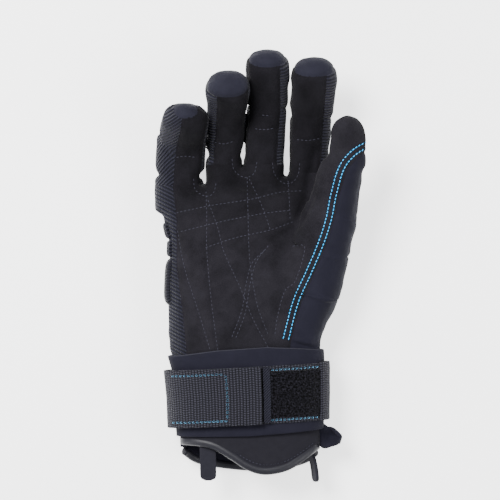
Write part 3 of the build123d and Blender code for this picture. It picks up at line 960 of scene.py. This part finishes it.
def band(name, turns, low, high, out, thickness, material, steps=(90, 12), relief=None):
    """A strip laid round the cuff between two turns, and between two edges that are functions of x."""
    turn, share = np.meshgrid(np.linspace(*turns, steps[0]), np.linspace(0, 1, steps[1]), indexing="ij")
    x_mid = skin(np.full(turn.shape, -64.0), turn, out)[..., 0]
    y = low(x_mid) + share * (high(x_mid) - low(x_mid))
    points = skin(y, turn, out)
    run = np.linalg.norm(np.diff(points[:, steps[1] // 2], axis=0), axis=1)
    run = np.concatenate([[0], np.cumsum(run)])[:, None] + 0 * share
    if relief:
        points = skin(y, turn, out + relief(run, y, share))
    cloth = np.stack([run, y, 0 * run], -1)
    faces = grid_faces(*steps)
    obj = make_object(name, points.reshape(-1, 3), faces, cloth.reshape(-1, 3), material)
    thicken(obj, thickness)
    return obj


def edge(points):
    """An edge of a band as a function of x."""
    points = np.array(points, float)
    return lambda x: np.interp(x, points[:, 0], points[:, 1])


STRAP_CENTRE = (4.0, -64.5)
STRAP_SLOPE = sin(radians(3.0))
STRAP_WIDTH = 32.0
WRAP_TOP = edge([(-46, -43.9), (-30, -42.6), (-10, -39.8), (17, -37.8), (36, -38.6), (49, -39.6)])
WRAP_BOTTOM = edge([(-42, -87.6), (-36, -87.6), (5, -87.0), (30, -85.0), (46, -83.5), (51, -82)])
HEM_FRONT = [(-34, -92.4), (-24, -92.6), (-14, -94.6), (-4.5, -100), (5, -106), (14, -108.4), (25, -106.6),
             (33.6, -102), (42, -96), (46, -94)]
HEM_BACK = [(-34.2, -96), (-31, -99), (-22, -104.5), (0, -108), (20, -108), (36, -104), (44, -98),
            (46, -96)]
STRAP_BEND = ("hand", "strap", (-40.5, -64.5, 31.0), (-33.0, -64.5, 32.4))


def strap_edge(side, width=STRAP_WIDTH):
    def at(x):
        return STRAP_CENTRE[1] + (x - STRAP_CENTRE[0]) * STRAP_SLOPE + side * width / 2
    return at


def crumple(size, amount, seed, lift=0.0):
    """Relief of a soft band, which may also lift towards its upper edge."""
    def at(run, y, share):
        points = np.stack([run, y, 0 * y], -1).reshape(-1, 3)
        return amount * waves(points, size, seed).reshape(run.shape) + lift * share ** 3
    return at


def tube_along(name, line, half_width, half_height, outward, material):
    """A rolled binding along a line of points: outward is each point's direction out of the surface."""
    line = np.asarray(line)
    way = np.gradient(line, axis=0)
    way /= np.linalg.norm(way, axis=1, keepdims=True)
    count = 14
    verts, cloth = [], []
    run = np.concatenate([[0], np.cumsum(np.linalg.norm(np.diff(line, axis=0), axis=1))])
    for point, direction, out, s in zip(line, way, outward, run):
        side = unit(np.cross(direction, out))
        for k in range(count):
            a = 2 * pi * k / count
            verts.append(point + side * half_width * cos(a) + out * half_height * sin(a))
            cloth.append((s, k, 0))
    faces = []
    for i in range(len(line) - 1):
        for k in range(count):
            a, b = i * count + k, i * count + (k + 1) % count
            faces.append((a, b, b + count, a + count))
    faces.append(tuple(range(count))[::-1])
    faces.append(tuple(range((len(line) - 1) * count, len(line) * count)))
    return make_object(name, verts, faces, cloth, material)


def on_cuff(x, y, out, palm_side):
    """A point on the cuff at x and y, and the direction out of it."""
    cx, a, cz, b = hand_section(y)
    u = np.clip((x - cx) / (a + out), -1, 1)
    c = np.sign(u) * np.abs(u) ** (SQUARENESS / 2)
    turn = float(np.arccos(c)) * (1 if palm_side else -1)
    point = skin(np.array(y), np.array(turn), out)
    step = 0.02
    along = skin(np.array(y), np.array(turn + step), out) - skin(np.array(y), np.array(turn - step), out)
    return point, unit(np.cross((0, 1, 0), along) * -1)


def hem_line(hem, palm_side, up):
    """The line that a binding follows: the hem, raised into the cuff, as far as the cuff's sides."""
    line, out = [], []
    for x, y in smooth_curve(hem, 1.0):
        y = y + up
        cx, a, _, _ = hand_section(y)
        if abs(x - cx) > a - 1.6:
            continue
        point, outward = on_cuff(x, y, -1.1, palm_side)
        line.append(point)
        out.append(outward)
    return np.array(line), np.array(out)


def dashes_on_cuff(name, points, out, material, body, slot, pitch=2.4, length=1.7, width=0.75, height=0.5,
                   bend=None):
    """Stitches along a line over the palm side of the cuff."""
    line = smooth_curve(points)
    seats = []
    step = int(round(pitch / 0.25))
    for i in range(step // 2, len(line) - 2, step):
        x, y = line[i]
        point, normal = on_cuff(x, y, out, True)
        ahead = on_cuff(*line[i + 2], out, True)[0] - point
        seats.append((point, unit(ahead), normal))
    verts, faces = stitch_mesh(seats, length, width, height)
    return place(make_object(name, verts, faces, verts, material), slot, [], body, bend)


def build_wrap():
    """The neoprene wrap round the wrist and its cut upper edge."""
    full = (-pi * 0.985, pi * 0.985)
    wrap = band("wrist_wrap_neoprene", full, WRAP_BOTTOM, WRAP_TOP, 2.25, 2.1, NEOPRENE, (180, 26),
                crumple(26, 0.28, 11, 0.5))
    wrap_edge = band("wrap_cut_edge", full, lambda x: WRAP_TOP(x) - 0.1, lambda x: WRAP_TOP(x) + 0.55, 2.65, 1.8,
                     EDGE, (180, 3), crumple(26, 0.28, 11))
    place(wrap, "neoprene", ["wrist_wrap"], body="hand")
    place(wrap_edge, "neoprene", [], body="hand")


def build_webbing():
    """What the strap is sewn to and fastens on: the webbing, loop patch, twill tape and folded end."""
    back = band("strap_base_webbing", (turn_at(-34.5), 2 * pi - 0.35), strap_edge(-1), strap_edge(1), 3.5, 1.15,
                WEBBING, (120, 16))
    place(back, "webbing", ["strap_base"], body="hand")
    under = band("loop_backing_webbing", (-0.36, turn_at(-33.0)), strap_edge(-1), strap_edge(1), 3.5, 1.15,
                 WEBBING, (90, 16))
    place(under, "webbing", ["loop_backing"], body="hand")
    loop = band("loop_patch_pile", (turn_at(45.4, out=4), turn_at(-30)), strap_edge(-1, 25.5),
                strap_edge(1, 25.5), 4.6, 1.0, LOOP, (110, 40), crumple(2.2, 0.12, 5))
    place(loop, "loop_pile", ["loop_patch"], body="hand")
    tape = band("twill_tape", (turn_at(16.6), turn_at(12.8)), strap_edge(-1, 31), strap_edge(1, 31),
                5.3, 0.7, TWILL, (6, 24))
    place(tape, "webbing", [], body="hand")
    fold = band("folded_webbing", (turn_at(51.0, out=5.4) - 0.33, turn_at(45.6, out=5.4)), strap_edge(-1),
                strap_edge(1, 33), 5.5, 1.9, WEBBING, (24, 16), crumple(14, 0.15, 8))
    place(fold, "webbing", ["strap_fold"], body="hand")


def build_strap():
    """The strap, with its hook patch and blue box stitch."""
    tail = band("strap_webbing", (turn_at(12.3, out=6.8), pi * 1.16), strap_edge(-1), strap_edge(1),
                6.8, 1.25, WEBBING, (130, 20), crumple(20, 0.08, 9))
    place(tail, "webbing", ["strap"], bend=STRAP_BEND)
    hook = band("hook_patch_pile", (turn_at(-7.5, out=5.4), turn_at(-33.0, out=5.4)), strap_edge(-1, 27),
                strap_edge(1, 27), 5.45, 0.8, HOOK, (30, 12))
    place(hook, "hook_pile", ["hook_patch"], body="strap")
    low, high = strap_edge(-1, 26.0), strap_edge(1, 26.0)
    box = [("top", [(-38.5, high(-38.5)), (-20, high(-20)), (-8, high(-8))]),
           ("end", [(-8, high(-8)), (-7, -65), (-7, low(-7))]),
           ("foot", [(-38, low(-38)), (-20, low(-20)), (-7, low(-7))])]
    for label, points in box:
        dashes_on_cuff(f"box_stitch_{label}", points, 6.85, PALE_BLUE, None, "webbing", 2.3, 1.7, 1.0, 0.7,
                       STRAP_BEND)


def sew_loop_patch():
    for label, side in (("top", 1), ("foot", -1)):
        at = strap_edge(side, 28.0)
        line = [(x, at(x)) for x in (17, 30, 44)]
        dashes_on_cuff(f"loop_stitch_{label}", line, 3.6, PALE_BLUE, "hand", "webbing", 2.2, 1.6, 1.0, 0.8)


def build_cuff():
    """The front and back of the cuff below the wrap, with their bindings and the stitching of the hem."""
    for label, side in (("front", True), ("back", False)):
        hem = HEM_FRONT if side else HEM_BACK
        material = LINING if side else NEOPRENE
        sign = 1 if side else -1
        hem_edge = edge([(x, y + 2.0) for x, y in smooth_curve(hem, 2.0)])
        cuff = band(f"cuff_{label}_panel", (sign * 0.02, sign * (pi - 0.02)), hem_edge,
                    lambda x: 0 * x - 50.0, 0.0, sign * 2.0, material, (110, 22), crumple(24, 0.3, 21))
        place(cuff, "lining_fabric" if side else "neoprene", [f"cuff_{label}"], body="hand")
        line, out = hem_line(hem, side, 2.25)
        rim = tube_along(f"binding_{label}", line, 2.4, 1.75, out, BINDING)
        place(rim, "binding", [f"hem_binding_{label}"], body="hand")
    inner = [(x, y + 5.6) for x, y in HEM_FRONT[1:-1]]
    dashes_on_cuff("hem_stitch", inner, 0.05, THREAD, "hand", "binding", 2.0, 1.3, 0.5, 0.35)


def build_corner():
    """The crumpled corner where the wrap's end stands away from the cuff."""
    n = 14
    verts = []
    for i in range(n):
        for j in range(n):
            s, t = i / (n - 1), j / (n - 1)
            top = -78.5 - 9.5 * s ** 1.3
            foot = -92.0 - 2.0 * sin(3.0 * s)
            x = 43.5 + 12.0 * s + 0.8 * sin(6.0 * t)
            y = top + t * (foot - top)
            z = 19.8 + 2.2 * sin(6.5 * s + 1.0) * (0.3 + 0.7 * s) + 1.5 * sin(5.4 * t + 4.0 * s)
            verts.append((x, y, z))
    obj = make_object("wrap_corner_flap", verts, grid_faces(n, n), verts, NEOPRENE)
    thicken(obj, 1.9, 0.5)
    place(obj, "neoprene", ["wrap_corner"], body="hand")


def build_tabs():
    spots = {
        "left": (np.array((-18.2, -86.0, 26.0)), np.array((1.0, 0, 0)), np.array((0.02, -1, 0))),
        "right": (np.array((37.4, -88.0, 19.0)), np.array((0.30, 0, 1.0)), np.array((0.27, -1, 0))),
    }
    for side, (sewn, across, down) in spots.items():
        down = unit(down)
        across = unit(across)
        normal = np.cross(down, across)
        rows, columns, length, width = 26, 9, 26.0, 9.0
        verts, cloth = [], []
        for i in range(rows):
            s = i / (rows - 1)
            left = length * (1 - s)
            corner = 3.0
            trim = 1.0
            if left < corner:
                trim = ((width / 2 - corner) + (corner ** 2 - (corner - left) ** 2) ** 0.5) / (width / 2)
            for j in range(columns):
                t = (2 * j / (columns - 1) - 1) * width / 2 * trim
                bow = 1.6 * sin(pi * s) * (-1 if side == "right" else 0.3)
                verts.append(sewn + down * s * length + across * t + normal * (0.9 + bow))
                cloth.append((t, s * length, 0))
        obj = make_object(f"tab_{side}", verts, grid_faces(rows, columns), cloth, TAPE)
        thicken(obj, 1.7, 0.4)
        place(obj, "tab_fabric", [f"pull_tab_{side}"], body=f"tab_{side}")


def back_band(name, y_range, turns, out, thickness, material, slot, nodes, relief=None):
    y0, y1 = y_range
    turn, share = np.meshgrid(np.linspace(*turns, 100), np.linspace(0, 1, 16), indexing="ij")
    y = y0 + (y1 - y0) * share
    bulge = out * np.sqrt(np.maximum(1 - (2 * share - 1) ** 4, 0.02))
    if relief:
        bulge = bulge + relief(turn * 40, y, share)
    points = skin(y, turn, bulge)
    points[..., 2] = np.maximum(points[..., 2], 0.0)
    cloth = np.stack([turn * 40, y, 0 * y], -1)
    obj = make_object(name, points.reshape(-1, 3), grid_faces(100, 16), cloth.reshape(-1, 3), material)
    thicken(obj, thickness)
    return place(obj, slot, nodes, body="hand")


def build_back():
    turns = (pi * 0.90, pi * 1.70)
    for i, y in enumerate((17.6, 27.6)):
        nodes = ["knuckle_ridges"] if i == 0 else []
        back_band(f"knuckle_ridge_{i}", (y - 4.6, y + 4.6), turns, 2.0, 1.8, SLANTED_RIBS,
                  "ribbed_stretch_fabric", nodes)
    back_band("back_pad_moulded", (-14, 12), turns, 2.6, 2.3, MOULDED, "back_pad_print", ["back_pad"])


# ---- Studio -----------------------------------------------------------
PICTURE_CENTRE = (5.6, 16.8)
PICTURE_WIDTH = 280.0
CAMERA_HEIGHT = 1600.0


def area_light(name, place_mm, target_mm, size, power):
    light = bpy.data.lights.new(name, "AREA")
    light.shape = "DISK"
    light.size = size
    light.energy = power
    obj = bpy.data.objects.new(name, light)
    obj.location = Vector(place_mm) * MM
    obj.rotation_euler = (Vector(target_mm) - Vector(place_mm)).to_track_quat("-Z", "Y").to_euler()
    bpy.context.scene.collection.objects.link(obj)


def build_studio():
    bpy.ops.mesh.primitive_plane_add(size=12, location=(0, 0, -0.0006))
    floor = bpy.context.object
    floor.name = "floor"
    material = bpy.data.materials.new("floor_white")
    material.use_nodes = True
    inputs = material.node_tree.nodes["Principled BSDF"].inputs
    inputs["Base Color"].default_value = (0.9, 0.9, 0.9, 1)
    inputs["Roughness"].default_value = 0.9
    inputs["Emission Color"].default_value = (1, 1, 1, 1)
    inputs["Emission Strength"].default_value = 1.6
    floor.data.materials.append(material)
    area_light("key", (-500, 500, 1100), (0, 0, 0), 0.6, 38)
    area_light("fill", (900, -200, 900), (0, 0, 0), 0.8, 13)
    area_light("low", (-900, -500, 350), (0, 0, 20), 0.5, 6)
    world = bpy.data.worlds.new("studio")
    bpy.context.scene.world = world
    world.use_nodes = True
    world.node_tree.nodes["Background"].inputs["Color"].default_value = (0.95, 0.97, 1.0, 1)
    world.node_tree.nodes["Background"].inputs["Strength"].default_value = 0.75
    camera = bpy.data.cameras.new("camera")
    camera.sensor_width = 36
    camera.lens = 36 * CAMERA_HEIGHT / PICTURE_WIDTH
    camera.clip_start = 0.1
    camera.clip_end = 20
    obj = bpy.data.objects.new("camera", camera)
    obj.location = (PICTURE_CENTRE[0] * MM, PICTURE_CENTRE[1] * MM, (CAMERA_HEIGHT + 25) * MM)
    bpy.context.scene.collection.objects.link(obj)
    bpy.context.scene.camera = obj


build_hand()
build_wrap()
build_webbing()
build_strap()
sew_loop_patch()
build_cuff()
build_corner()
build_tabs()
build_back()
build_studio()
